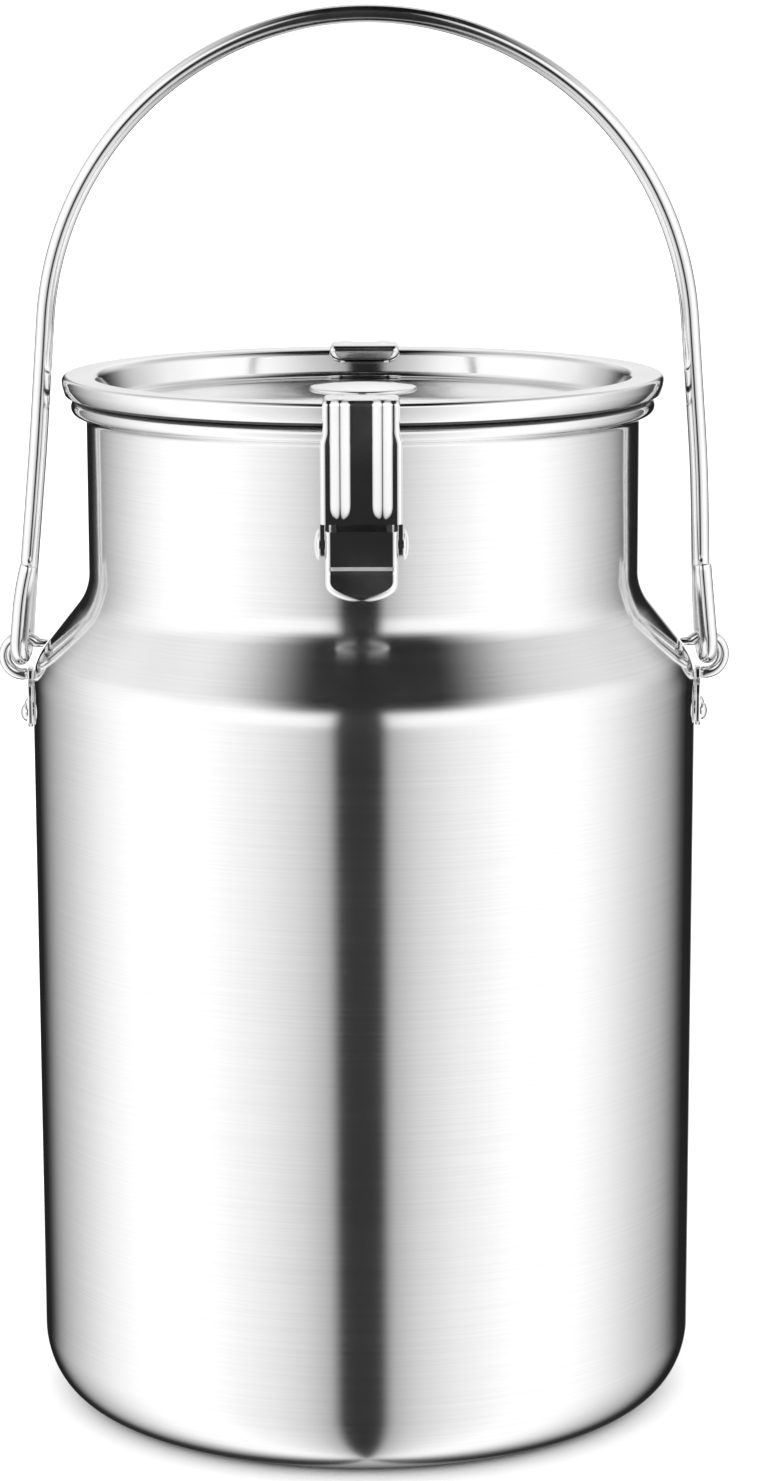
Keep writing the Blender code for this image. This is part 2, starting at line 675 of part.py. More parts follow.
def hook_stations():
    """Places across the hook as shares of its half width, closer together over the two ribs."""
    stations = [-1.0]
    for centre in (-RIB_CENTRE, RIB_CENTRE):
        for share in (-1.0, -0.67, -0.33, 0.0, 0.33, 0.67, 1.0):
            stations.append((centre + share * RIB_HALF) / HOOK_HALF)
    return stations + [1.0]


def build_hook(label, facing, group, cutters):
    """Claw, top and ribbed face bent from one sheet, with a flange on each side for its pin."""
    place = latch_place(HOOK_PIVOT, facing)
    name = label + "_latch_hook"
    hook = bent_sheet(name, hook_path(), hook_stations(), hook_half_width, rib_lift, group, place, HOOK_PIVOT)
    front = HOOK_FACE + SHEET / 3.0
    out, height = HOOK_PIVOT
    flange = rounded([
        (front, FLANGE_TOP, 0.0), (front, FLANGE_LOW, 3.0), (out, height - 4.4, 3.5),
        (out - 4.4, height - 1.0, 3.0), (front - 2.4, FLANGE_BEND, 20.0), (front - 1.3, FLANGE_TOP, 0.0),
    ])
    add_cheeks(label + "_hook_flange", hook, flange, HOOK_FLANGE, HOOK_PIVOT, facing, cutters)
    combine(hook, pin_hole(label + "_hook_hole", HOOK_PIVOT, facing, cutters), "DIFFERENCE", cutters)


def hook_pin_outline():
    """Pin with a low domed head on each end."""
    dome = arc((0.0, PIN_HEAD_IN + 0.4), (PIN_HEAD, PIN_HEAD_OUT - PIN_HEAD_IN - 0.4), 90.0, 0.0, 4)
    half = dome + [(PIN_HEAD, PIN_HEAD_IN), (PIN_RADIUS, PIN_HEAD_IN)]
    return half + [(radius, -height) for radius, height in reversed(half)]


def build_latch(label, facing, group, cutters):
    build_bracket(label, facing, group, cutters)
    build_lever(label, facing, group, cutters)
    build_hook(label, facing, group, cutters)
    half = LEVER_PIN_HALF
    straight = [(0.0, half), (PIN_RADIUS, half), (PIN_RADIUS, -half), (0.0, -half)]
    cross_pin(label + "_lever_pin", straight, LEVER_PIVOT, facing, group)
    cross_pin(label + "_hook_pin", hook_pin_outline(), HOOK_PIVOT, facing, group)


def build():
    clear_scene()
    group = new_collection(OBJECT_NAME)
    cutters = new_collection("cutters")
    build_can(group, cutters)
    build_lid(group)
    for side, facing in EAR_SIDES:
        build_ear(side, facing, group, cutters)
    build_bail(group)
    for label, facing in (("front", 1.0), ("rear", -1.0)):
        build_latch(label, facing, group, cutters)


build()
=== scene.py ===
"""Studio picture of a stainless milk can with a clamped lid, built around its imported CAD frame.

Lengths are in millimetres until a mesh is finished, when they become metres.
The can stands on z = 0 around the Z axis. Its front latch faces -Y, its ears are on +X and -X.
"""

import json
import math

import bmesh
import bpy
from mathutils import Matrix, Vector

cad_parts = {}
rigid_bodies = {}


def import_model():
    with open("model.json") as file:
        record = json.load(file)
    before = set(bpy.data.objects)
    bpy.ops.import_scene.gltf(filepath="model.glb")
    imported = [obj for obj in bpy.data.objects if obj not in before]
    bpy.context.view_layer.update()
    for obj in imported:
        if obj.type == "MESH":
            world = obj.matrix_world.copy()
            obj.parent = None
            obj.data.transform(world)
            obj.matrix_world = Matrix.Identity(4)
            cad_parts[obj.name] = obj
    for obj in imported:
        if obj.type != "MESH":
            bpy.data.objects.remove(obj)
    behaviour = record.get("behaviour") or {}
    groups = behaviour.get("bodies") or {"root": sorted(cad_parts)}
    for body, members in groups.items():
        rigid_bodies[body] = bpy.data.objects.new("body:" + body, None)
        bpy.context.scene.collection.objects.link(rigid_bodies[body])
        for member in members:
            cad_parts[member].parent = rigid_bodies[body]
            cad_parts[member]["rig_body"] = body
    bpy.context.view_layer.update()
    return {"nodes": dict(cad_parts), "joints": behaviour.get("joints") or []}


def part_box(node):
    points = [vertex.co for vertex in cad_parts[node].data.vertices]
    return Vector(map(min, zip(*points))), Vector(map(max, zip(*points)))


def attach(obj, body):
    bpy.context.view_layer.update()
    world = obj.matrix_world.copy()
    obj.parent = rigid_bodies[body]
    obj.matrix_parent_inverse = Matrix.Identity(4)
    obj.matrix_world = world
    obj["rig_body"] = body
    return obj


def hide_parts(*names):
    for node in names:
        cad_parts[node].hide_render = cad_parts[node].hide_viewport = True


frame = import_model()

MM = 0.001


def cad_low(node, axis):
    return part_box(node)[0][axis] / MM


def cad_high(node, axis):
    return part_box(node)[1][axis] / MM


def joint_axis(name):
    """Centre of a joint's axis in millimetres."""
    for joint in frame["joints"]:
        if joint["name"] == name:
            return [value / MM for value in joint["pos_m"]]
    raise ValueError(name)


# Can: sizes from the frame, and the radii of its bends
BODY = cad_high("can_body", 0)
MOUTH_TOP = cad_high("can_body", 2)
WALL = 1.0
NECK = BODY - 19.2
SHOULDER_LOW = 249.1
SHOULDER_HIGH = 273.3
SHOULDER_BEND = 18.5
CORNER_WIDTH = 16.5
CORNER_HEIGHT = 22.0
BASE_FLAT = 60.0
BASE_EDGE = 76.0
FOOT_IN = 81.0
FOOT_FLAT = 88.0
FOOT_OUT = BODY - CORNER_WIDTH
FOOT_STEP = 2.5
FOOT_BEND = 4.0
FOOT_INNER_BEND = 3.0
BODY_MIDDLE = 100.0
NECK_MIDDLE = 300.0
LIP = 2.5
LIP_IN = 1.0
BEAD = 2.5
BEAD_HEIGHT = 5.2
BEAD_CENTRE = (NECK + BEAD, MOUTH_TOP - BEAD_HEIGHT / 2.0)

# Lid, with the knob's pairs as (radius, height)
LID_TOP = cad_high("lid", 2)
LID_OUT = cad_high("lid", 0)
LID_EDGE = cad_low("lid_gasket", 2) + 1.3
LID_SHEET = 1.0
LID_HOLE = 2.3
RECESS_FLOOR = LID_TOP - 9.9
STEP_RADIUS = 51.3
STEP_RISE = 1.0
STEP_BEND = 1.2
RECESS_FOOT = 84.6
RECESS_RIM = 88.0
RECESS_BEND = 3.4
RIM_BEND = 1.7
SKIRT_BEND = 4.0
SEAL_IN = 89.5
SEAL_FOOT = 95.9
SEAL_OUT = 96.8
KNOB_CROWN = 120.0
KNOB_EDGE = (1.4, 0.9)
KNOB_NECK = (8.6, 1.6)
KNOB_SEAT = 7.0
KNOB_HOLE = (2.2, 3.8)
KNOB_RADIUS = cad_high("lid_knob", 0)
KNOB_TOP = cad_high("lid_knob", 2)
KNOB_FOOT = cad_low("lid_knob", 2)

# Ears and bail
BAIL_HEIGHT = joint_axis("bail_swing")[2]
BAIL_OUT = BODY + 3.6
EAR_WIRE = 2.0
EAR_BEND = 6.2
EAR_BEND_START = BODY + 3.4
EAR_BEND_FROM = 141.0
PLATE_IN = BODY + 0.3
PLATE_OUT = BODY + 1.9
PLATE_LOW = cad_low("ear_plate_left", 2)
PLATE_HALF = 11.0
PLATE_SIDE = 6.0
PLATE_CROWN = 9.7
PLATE_CORNER = 4.5
TONGUE_RISE = 3.7
TONGUE_HALF = 4.1
RIVET_HEIGHT = (cad_low("ear_rivet_left_front", 2) + cad_high("ear_rivet_left_front", 2)) / 2.0
RIVET_SIDE = 6.2
RIVET_STAND = 2.3
RIVET_HEAD = 3.0
RIVET_SHANK = 1.4
RIVET_SET = 2.6
RIVET_GAP = 0.3
BAIL_WIRE = 3.0
BAIL_LEAN = math.radians(4.45)
ARCH_RADIUS = 105.8
ARCH_CENTRE = cad_high("bail_handle", 2) - BAIL_WIRE - ARCH_RADIUS
EYE_RADIUS = 6.4
EYE_TAPER = math.radians(7.0)
EYE_YAW = 0.5
LEG_START = 5.0
LEG_END = 62.0
LEG_STRAIGHT = 70.0
LEG_EASE = 0.9
TAIL_LENGTH = 24.5
TAIL_CURL_START = 9.0
LEFT_TAIL_CURL = 1.4
BAIL_SKEW = 1.6
BAIL_SKEW_HEIGHT = 70.0

# Latches
LEVER_PIVOT = joint_axis("front_lever_swing")
HOOK_PIVOT = joint_axis("front_hook_swing")
SHEET = 1.2
HOOK_FACE = 101.2
HOOK_TOP = LID_TOP + 1.45
HOOK_BOTTOM = 307.6
HOOK_CLAW = 84.0
HOOK_CLAW_END = 340.9
CLAW_HALF = 8.4
CLAW_ROUND = 3.4
HOOK_BEND = 2.2
HOOK_WIDE = 12.7
HOOK_NARROW = 11.9
HOOK_CHEEK = 1.35
FLANGE_TOP = 331.0
HOOK_NARROWING = (FLANGE_TOP + 1.0, FLANGE_TOP + 5.0)
SIDE_BEND = 1.7
RIB_CENTRE = 6.5
RIB_HALF = 2.9
RIB_RISE = 1.35
RIB_CREST = 0.17
RIB_END = 309.4
RIB_FOOT = RIB_HALF * 1.3
RIB_START = 1.2
RIB_FADE = (1.6, 0.2)
RIB_TOP_RISE = 0.45
LEVER_FACE = 101.8
LEVER_TOP = 305.4
LEVER_CREASE = 293.9
LEVER_HALF = 11.2
TAB_END = (105.2, 284.7)
TAB_ROUND = 5.8
LEVER_RIM = 1.6
FLAT_EDGE = 0.15
GROOVE_DEPTH = 0.2
GROOVE_HALF = 0.6
FOLD_MATERIAL = 2
PIN_RADIUS = 1.5
PIN_HEAD = (cad_high("front_hook_pin", 2) - cad_low("front_hook_pin", 2)) / 2.0
PIN_HALF = 14.6

STEPS = 256


# ---------------------------------------------------------------- outlines


def rounded(corners, turns=8):
    """Outline through (first, second, bend radius) corners, each bend drawn as an arc."""
    count = len(corners)
    outline = []
    for index, (first, second, bend) in enumerate(corners):
        here = Vector((first, second))
        if bend == 0.0:
            outline.append((first, second))
            continue
        before = (Vector(corners[index - 1][:2]) - here).normalized()
        after = (Vector(corners[(index + 1) % count][:2]) - here).normalized()
        half = before.angle(after) / 2.0
        centre = here + (before + after).normalized() * (bend / math.sin(half))
        start = here + before * (bend / math.tan(half)) - centre
        swept = start.angle_signed(here + after * (bend / math.tan(half)) - centre)
        for step in range(turns + 1):
            turn = -swept * step / turns
            spoke = Matrix.Rotation(turn, 2) @ start
            outline.append(tuple(centre + spoke))
    return outline


def arc(centre, size, first, last, turns):
    """Points on an ellipse, from one angle to another in degrees."""
    points = []
    for step in range(turns + 1):
        angle = math.radians(first + (last - first) * step / turns)
        points.append((centre[0] + size[0] * math.cos(angle), centre[1] + size[1] * math.sin(angle)))
    return points


def smooth(value, low, high):
    """Smooth step from 0 at low to 1 at high."""
    share = min(max((value - low) / (high - low), 0.0), 1.0)
    return share * share * (3.0 - 2.0 * share)


# ---------------------------------------------------------------- meshes


def finish(name, made, look, body, nodes, smooth_angle=35.0, bevel=0.0, outward=None):
    """Turn a bmesh in millimetres into a piece that rides on a body and stands for CAD nodes.

    An open sheet is turned so that most of it faces the outward direction.
    """
    bmesh.ops.recalc_face_normals(made, faces=made.faces)
    made.normal_update()
    if outward is not None:
        facing = sum(face.calc_area() * face.normal.dot(outward) for face in made.faces)
        if facing < 0.0:
            bmesh.ops.reverse_faces(made, faces=made.faces)
    made.transform(Matrix.Scale(MM, 4))
    mesh = bpy.data.meshes.new(name)
    made.to_mesh(mesh)
    made.free()
    mesh.shade_smooth()
    mesh.set_sharp_from_angle(angle=math.radians(smooth_angle))
    mesh.materials.append(look)
    piece = bpy.data.objects.new(name, mesh)
    bpy.context.scene.collection.objects.link(piece)
    if bevel:
        soften(piece, bevel)
    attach(piece, body)
    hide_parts(*nodes)
    return piece


def soften(piece, width):
    """Round the sharp edges of a piece a little, as tumbling does to stamped steel."""
    modifier = piece.modifiers.new("soft_edges", "BEVEL")
    modifier.width = width * MM
    modifier.segments = 2
    modifier.limit_method = "ANGLE"
    modifier.angle_limit = math.radians(40.0)
    modifier.harden_normals = False


def join_rings(made, lower, upper, closed=True):
    """Fill between two rows of vertices, or between a row and a single point."""
    steps = max(len(lower), len(upper))
    if steps == 1:
        return
    for step in range(steps if closed else steps - 1):
        after = (step + 1) % steps
        if len(lower) == 1:
            made.faces.new((lower[0], upper[after], upper[step]))
        elif len(upper) == 1:
            made.faces.new((lower[step], lower[after], upper[0]))
        else:
            made.faces.new((lower[step], lower[after], upper[after], upper[step]))


def revolve(outline, steps=STEPS, place=None):
    """Spin a closed outline of (radius, height) points around Z."""
    made = bmesh.new()
    rings = []
    for radius, height in outline:
        if radius < 0.001:
            rings.append([made.verts.new((0.0, 0.0, height))])
            continue
        ring = []
        for step in range(steps):
            angle = 2.0 * math.pi * step / steps
            ring.append(made.verts.new((radius * math.cos(angle), radius * math.sin(angle), height)))
        rings.append(ring)
    for lower, upper in zip(rings, rings[1:] + rings[:1]):
        join_rings(made, lower, upper)
    if place is not None:
        made.transform(place)
    return made


def sweep(points, radius, sides=20, first_ring=None):
    """Round wire along a path, with slightly rounded cut ends."""
    made = bmesh.new()
    path = [Vector(point) for point in points]
    rings = []
    across = None
    for index, point in enumerate(path):
        before = path[max(index - 1, 0)]
        after = path[min(index + 1, len(path) - 1)]
        along = (after - before).normalized()
        if across is None:
            across = along.orthogonal().normalized()
        across = (across - along * across.dot(along)).normalized()
        other = along.cross(across)
        for inset, back in end_rounding(index, len(path), radius):
            ring = []
            for side in range(sides):
                angle = 2.0 * math.pi * side / sides
                spoke = across * math.cos(angle) + other * math.sin(angle)
                ring.append(point + spoke * (radius - inset) + along * back)
            if index == 0 and first_ring is not None:
                ring = [first_ring(place) for place in ring]
            rings.append([made.verts.new(place) for place in ring])
    for lower, upper in zip(rings, rings[1:]):
        join_rings(made, lower, upper)
    made.faces.new(rings[0])
    made.faces.new(rings[-1])
    return made


def end_rounding(index, count, radius):
    """Rings at one station of a wire: three on a rounded end, one elsewhere."""
    edge = radius * 0.18
    steps = [(edge, 0.0), (edge * 0.3, edge * 0.3), (0.0, edge)]
    if index == 0:
        return steps
    if index == count - 1:
        return [(inset, -back) for inset, back in reversed(steps)]
    return [(0.0, 0.0)]


def slab(made, outline, low, high, place):
    """Add a flat piece: an outline given thickness along the third direction."""
    near = [made.verts.new(place(first, second, low)) for first, second in outline]
    far = [made.verts.new(place(first, second, high)) for first, second in outline]
    made.faces.new(near)
    made.faces.new(far)
    join_rings(made, near, far)


# ---------------------------------------------------------------- materials


class Nodes:
    """Short way to add linked nodes to a material or world."""

    def __init__(self, owner):
        owner.use_nodes = True
        self.tree = owner.node_tree
        self.tree.nodes.clear()

    def add(self, kind, inputs=None, **settings):
        node = self.tree.nodes.new(kind)
        for name, value in settings.items():
            setattr(node, name, value)
        for name, value in (inputs or {}).items():
            if isinstance(value, bpy.types.NodeSocket):
                self.tree.links.new(value, node.inputs[name])
            else:
                node.inputs[name].default_value = value
        return node

    def math(self, operation, first, second=0.0):
        return self.add("ShaderNodeMath", {0: first, 1: second}, operation=operation).outputs[0]

    def span(self, value, low, high, to_low=0.0, to_high=1.0):
        """Smooth step of a value from one range to another."""
        sockets = {"Value": value, "From Min": low, "From Max": high, "To Min": to_low, "To Max": to_high}
        node = self.add("ShaderNodeMapRange", sockets, interpolation_type="SMOOTHSTEP")
        return node.outputs["Result"]

    def blend(self, share, first, second):
        """Mix of two colours, each a value or another node's output."""
        node = self.add("ShaderNodeMix", {"Factor": share, 6: first, 7: second}, data_type="RGBA")
        return node.outputs[2]

    def noise(self, vector, scale, detail, stretch=(1.0, 1.0, 1.0)):
        """Cloudy noise, with its grain finer along the axes that are stretched more."""
        mapping = self.add("ShaderNodeMapping", {"Vector": vector, "Scale": stretch})
        sockets = {"Vector": mapping.outputs[0], "Scale": scale, "Detail": detail}
        return self.add("ShaderNodeTexNoise", sockets).outputs["Fac"]

    def surface(self, sockets):
        """Principled shader as the material's surface."""
        shader = self.add("ShaderNodeBsdfPrincipled", sockets)
        self.add("ShaderNodeOutputMaterial", {"Surface": shader.outputs[0]})

    def ramp(self, value, stops):
        """Grey levels through (position, level) stops."""
        node = self.add("ShaderNodeValToRGB", {"Fac": value})
        elements = node.color_ramp.elements
        while len(elements) < len(stops):
            elements.new(0.5)
        for element, (position, level) in zip(elements, stops):
            element.position = position
            element.color = (level, level, level, 1.0)
        return node.outputs["Color"]


# How much finer the grain is along each axis: brushing runs round the can, so it is finest upwards
BRUSH_LINES = (14.0, 14.0, 2600.0)
BRUSH_BANDS = (5.0, 5.0, 320.0)
SCRATCHES = (900.0, 120.0, 700.0)
SATIN_ROUGHNESS = 0.09
SATIN_TINTS = ((0.91, 0.91, 0.915, 1.0), (0.95, 0.95, 0.955, 1.0))
BRIGHT_TINTS = ((0.90, 0.90, 0.905, 1.0), (0.96, 0.96, 0.965, 1.0))
# Seal greys: the rubber's own grey, darkened with painted shade of the gap it sits in.
SEAL_GREY_WITH_PAINTED_SHADE = ((0.035, 0.035, 0.037, 1.0), (0.060, 0.060, 0.063, 1.0))


def brushed_steel(name):
    """Satin steel whose fine brushing runs round the can, with soft smudges in its shine."""
    look = bpy.data.materials.new(name)
    nodes = Nodes(look)
    where = nodes.add("ShaderNodeTexCoord").outputs["Object"]
    lines = nodes.noise(where, 1.0, 3.0, BRUSH_LINES)
    bands = nodes.noise(where, 1.0, 2.0, BRUSH_BANDS)
    smudges = nodes.noise(where, 22.0, 4.0)
    grain = nodes.math("ADD", nodes.math("MULTIPLY", lines, 0.06), nodes.math("MULTIPLY", bands, 0.03))
    shine = nodes.math("ADD", grain, nodes.math("MULTIPLY", smudges, 0.05))
    facing = nodes.add("ShaderNodeLayerWeight", {"Blend": 0.5}).outputs["Facing"]
    sharper = nodes.span(facing, 0.55, 0.95, 1.0, 0.5)
    roughness = nodes.math("MULTIPLY", nodes.math("ADD", shine, SATIN_ROUGHNESS), sharper)
    tint = nodes.blend(nodes.span(lines, 0.3, 0.7), *SATIN_TINTS)
    bump = nodes.add("ShaderNodeBump", {"Height": lines, "Strength": 0.12, "Distance": 0.00002})
    nodes.surface({
        "Base Color": tint, "Metallic": 1.0, "Roughness": roughness,
        "Anisotropic": 0.85, "Anisotropic Rotation": 0.25, "Normal": bump.outputs[0],
    })
    return look


def polished_steel(name):
    """Mirror-bright steel with faint polishing haze and fine scratches."""
    look = bpy.data.materials.new(name)
    nodes = Nodes(look)
    where = nodes.add("ShaderNodeTexCoord").outputs["Object"]
    haze = nodes.noise(where, 35.0, 5.0)
    scratches = nodes.noise(where, 1.0, 4.0, SCRATCHES)
    hazy = nodes.span(haze, 0.35, 0.75, 0.05, 0.13)
    roughness = nodes.math("ADD", hazy, nodes.math("MULTIPLY", scratches, 0.04))
    tint = nodes.blend(nodes.span(haze, 0.3, 0.7), *BRIGHT_TINTS)
    bump = nodes.add("ShaderNodeBump", {"Height": scratches, "Strength": 0.12, "Distance": 0.00001})
    nodes.surface({
        "Base Color": tint, "Metallic": 1.0, "Roughness": roughness, "Normal": bump.outputs[0],
    })
    return look


def dull_steel(name, darker, lighter):
    """Rough steel clouded between two greys: light greys give a matt finish, dark greys give painted shade.
    """
    look = bpy.data.materials.new(name)
    nodes = Nodes(look)
    where = nodes.add("ShaderNodeTexCoord").outputs["Object"]
    cloud = nodes.noise(where, 160.0, 4.0)
    tint = nodes.blend(cloud, (darker, darker, darker, 1.0), (lighter, lighter, lighter, 1.0))
    roughness = nodes.span(cloud, 0.3, 0.7, 0.38, 0.52)
    nodes.surface({"Base Color": tint, "Metallic": 1.0, "Roughness": roughness})
    return look


def silicone(name):
    """Soft grey rubber with a fine matt grain, its tint darkened to very dark grey as painted shade of the
    gap between lid and mouth.
    """
    look = bpy.data.materials.new(name)
    nodes = Nodes(look)
    where = nodes.add("ShaderNodeTexCoord").outputs["Object"]
    grain = nodes.noise(where, 900.0, 3.0)
    cloud = nodes.noise(where, 60.0, 3.0)
    tint = nodes.blend(cloud, *SEAL_GREY_WITH_PAINTED_SHADE)
    bump = nodes.add("ShaderNodeBump", {"Height": grain, "Strength": 0.4, "Distance": 0.0001})
    roughness = nodes.span(grain, 0.2, 0.8, 0.45, 0.62)
    nodes.surface({"Base Color": tint, "Roughness": roughness, "Normal": bump.outputs[0]})
    return look


SATIN = brushed_steel("brushed_can")
BRIGHT = polished_steel("polished_fittings")
# Near-black steel for the latch sheets' inner sides: painted shade of the space behind each latch.
SHADE_PAINTED_STEEL = dull_steel("painted_shade_inside", 0.10, 0.20)
MATT = dull_steel("matt_fold", 0.70, 0.84)
# Seal rubber, its tint darkened with painted shade of the lid gap.
RUBBER = silicone("seal_rubber")


# ---------------------------------------------------------------- can and lid


def build_can():
    """One closed outline, up the outside and down the inside, spun into the can's shell."""
    outside = [(0.0, FOOT_STEP)]
    outside += rounded([(BASE_FLAT, FOOT_STEP, 0.0), (BASE_EDGE, FOOT_STEP, FOOT_BEND),
                        (FOOT_IN, 0.0, FOOT_BEND), (FOOT_FLAT, 0.0, 0.0)])[1:-1]
    outside += arc((FOOT_OUT, CORNER_HEIGHT), (CORNER_WIDTH, CORNER_HEIGHT), -90.0, 0.0, 20)
    outside += rounded([(BODY, BODY_MIDDLE, 0.0), (BODY, SHOULDER_LOW, SHOULDER_BEND),
                        (NECK, SHOULDER_HIGH, SHOULDER_BEND), (NECK, NECK_MIDDLE, 0.0)], 14)
    outside += arc((BEAD_CENTRE[0], MOUTH_TOP - BEAD_HEIGHT - BEAD), (BEAD, BEAD), 178.0, 100.0, 6)
    outside += arc(BEAD_CENTRE, (BEAD, BEAD_HEIGHT / 2.0), -80.0, 90.0, 14)
    outside += arc((BEAD_CENTRE[0] - LIP_IN, MOUTH_TOP - LIP), (LIP, LIP), 92.0, 180.0, 8)
    inner_neck = NECK - WALL
    inner_body = BODY - WALL
    lower = 0.4 * WALL
    inside = rounded([(inner_neck, NECK_MIDDLE, 0.0), (inner_neck, SHOULDER_HIGH - lower, SHOULDER_BEND),
                      (inner_body, SHOULDER_LOW - lower, SHOULDER_BEND),
                      (inner_body, BODY_MIDDLE, 0.0)], 14)
    inside += arc((FOOT_OUT, CORNER_HEIGHT), (CORNER_WIDTH - WALL, CORNER_HEIGHT - WALL), 0.0, -90.0, 20)
    outer = 0.6 * WALL
    inside += rounded([(FOOT_FLAT, WALL, 0.0), (FOOT_IN + outer, WALL, FOOT_INNER_BEND),
                       (BASE_EDGE + outer, FOOT_STEP + WALL, FOOT_INNER_BEND),
                       (BASE_FLAT, FOOT_STEP + WALL, 0.0)])[1:-1]
    inside.append((0.0, FOOT_STEP + WALL))
    finish("can_shell", revolve(outside + inside), SATIN, "can", ["can_body"])


def lid_outline(drop, grow):
    """One side of the lid's sheet from its centre to its skirt, set down and its recess widened."""
    floor = RECESS_FLOOR - drop
    return rounded([
        (LID_HOLE, floor + STEP_RISE, 0.0), (STEP_RADIUS - 0.6, floor + STEP_RISE, STEP_BEND),
        (STEP_RADIUS + 0.8, floor, STEP_BEND), (RECESS_FOOT - grow, floor, RECESS_BEND),
        (RECESS_RIM + grow, LID_TOP - drop, RECESS_BEND - drop),
        (LID_OUT - drop, LID_TOP - drop, RIM_BEND),
        (LID_OUT - 0.4 - drop, LID_EDGE + 2.6, SKIRT_BEND), (LID_OUT - 1.1 - drop, LID_EDGE, 0.0),
    ])


def build_lid():
    """Dish, seal and knob."""
    top = lid_outline(0.0, 0.0)
    under = lid_outline(LID_SHEET, 0.35)
    edge = [(LID_OUT - 1.35, LID_EDGE - 0.25), (LID_OUT - 1.8, LID_EDGE - 0.25)]
    finish("lid_dish", revolve(top + edge + under[::-1]), BRIGHT, "closure", ["lid"])
    low = cad_low("lid_gasket", 2)
    high = cad_high("lid_gasket", 2)
    seal = rounded([(SEAL_IN, low, 0.6), (SEAL_FOOT, low, 0.8), (SEAL_OUT, high - 3.0, 1.5),
                    (SEAL_OUT, high, 0.6), (SEAL_IN, high, 0.6)], 4)
    finish("lid_seal", revolve(seal), RUBBER, "closure", ["lid_gasket"])
    finish("knob_disc", revolve(knob_outline(), 128), BRIGHT, "closure", ["lid_knob"])


def knob_outline():
    """Slightly domed disc with a rounded edge, on a short foot that the screw enters from below."""
    knob = [(0.0, KNOB_TOP)]
    reach = KNOB_RADIUS - KNOB_EDGE[0]
    for step in range(1, 11):
        radius = reach * step / 10.0
        knob.append((radius, KNOB_TOP - radius * radius / KNOB_CROWN / 2.0))
    edge_height = knob[-1][1]
    knob += arc((reach, edge_height - KNOB_EDGE[1]), KNOB_EDGE, 80.0, -80.0, 8)
    knob += rounded([(reach, edge_height - 2.0 * KNOB_EDGE[1], 0.0),
                     (KNOB_NECK[0], KNOB_FOOT + KNOB_NECK[1], 1.2), (KNOB_SEAT, KNOB_FOOT, 0.4),
                     (KNOB_HOLE[0], KNOB_FOOT, 0.0)])[1:]
    return knob + [(KNOB_HOLE[0], KNOB_FOOT + KNOB_HOLE[1]), (0.0, KNOB_FOOT + KNOB_HOLE[1])]


# ---------------------------------------------------------------- ears and bail


def along_radius(angle, height):
    """Lay a Z-turned shape along the can's radius at an angle around Z and a height."""
    lie_down = Matrix.Rotation(math.radians(90.0), 4, "Y")
    return Matrix.Rotation(angle, 4, "Z") @ Matrix.Translation((0.0, 0.0, height)) @ lie_down


def rivet_outline():
    """Domed head outside, shank through plate and wall, small set head inside."""
    head = PLATE_OUT + RIVET_GAP
    outline = [(0.0, head + RIVET_STAND - RIVET_GAP)]
    outline += arc((0.0, head), (RIVET_HEAD, RIVET_STAND - RIVET_GAP), 80.0, 0.0, 8)
    inner = BODY - WALL - RIVET_GAP
    outline += [(RIVET_SHANK, head), (RIVET_SHANK, inner), (RIVET_SET, inner), (RIVET_SET, inner - 0.5),
                (RIVET_SET - 0.5, inner - 0.9), (0.0, inner - 0.9)]
    return outline


def ear_path():
    """Round bend of the loop, from its inner end above the shoulder to the ear plate below."""
    centre = (EAR_BEND_START, BAIL_HEIGHT - EAR_BEND)
    path = [(out, 0.0, up) for out, up in arc(centre, (EAR_BEND, EAR_BEND), EAR_BEND_FROM, -90.0, 36)]
    path.append((PLATE_OUT + 0.3, 0.0, BAIL_HEIGHT - 2.0 * EAR_BEND))
    return path


def rest_on_shoulder(place):
    """Slide a point of the loop's inner end along X until it sits just off the can's shoulder."""
    slope = (BODY - NECK) / (SHOULDER_HIGH - SHOULDER_LOW)
    radius = BODY - (place.z - SHOULDER_LOW) * slope + 0.5
    return Vector((math.sqrt(radius * radius - place.y * place.y), place.y, place.z))


def plate_height(across):
    """Top edge of an ear plate: shoulders rounded off, with a raised middle under the loop."""
    share = min(abs(across) / PLATE_HALF, 1.0)
    body = PLATE_LOW + PLATE_SIDE + PLATE_CROWN * math.sqrt(1.0 - 0.85 * share ** 4)
    raised = TONGUE_RISE / (1.0 + (across / TONGUE_HALF) ** 8)
    return min(body + raised, cad_high("ear_plate_left", 2))


def build_ear_plate(side, turn):
    """Plate bent round the can's side, made column by column from its front edge to its rear one."""
    made = bmesh.new()
    columns = []
    count = 44
    for step in range(count + 1):
        across = -PLATE_HALF + 2.0 * PLATE_HALF * step / count
        share = abs(across) / PLATE_HALF
        low = PLATE_LOW + PLATE_CORNER * (1.0 - math.sqrt(1.0 - share ** 4))
        high = plate_height(across)
        angle = across / BODY
        column = []
        for radius, height in ((PLATE_IN, low), (PLATE_OUT, low), (PLATE_OUT, high), (PLATE_IN, high)):
            column.append(made.verts.new((radius * math.cos(angle), radius * math.sin(angle), height)))
        columns.append(column)
    for lower, upper in zip(columns, columns[1:]):
        join_rings(made, lower, upper)
    made.faces.new(columns[0])
    made.faces.new(columns[-1])
    made.transform(turn)
    finish("ear_tab_" + side, made, BRIGHT, "can", ["ear_plate_" + side], 30.0, 0.4)


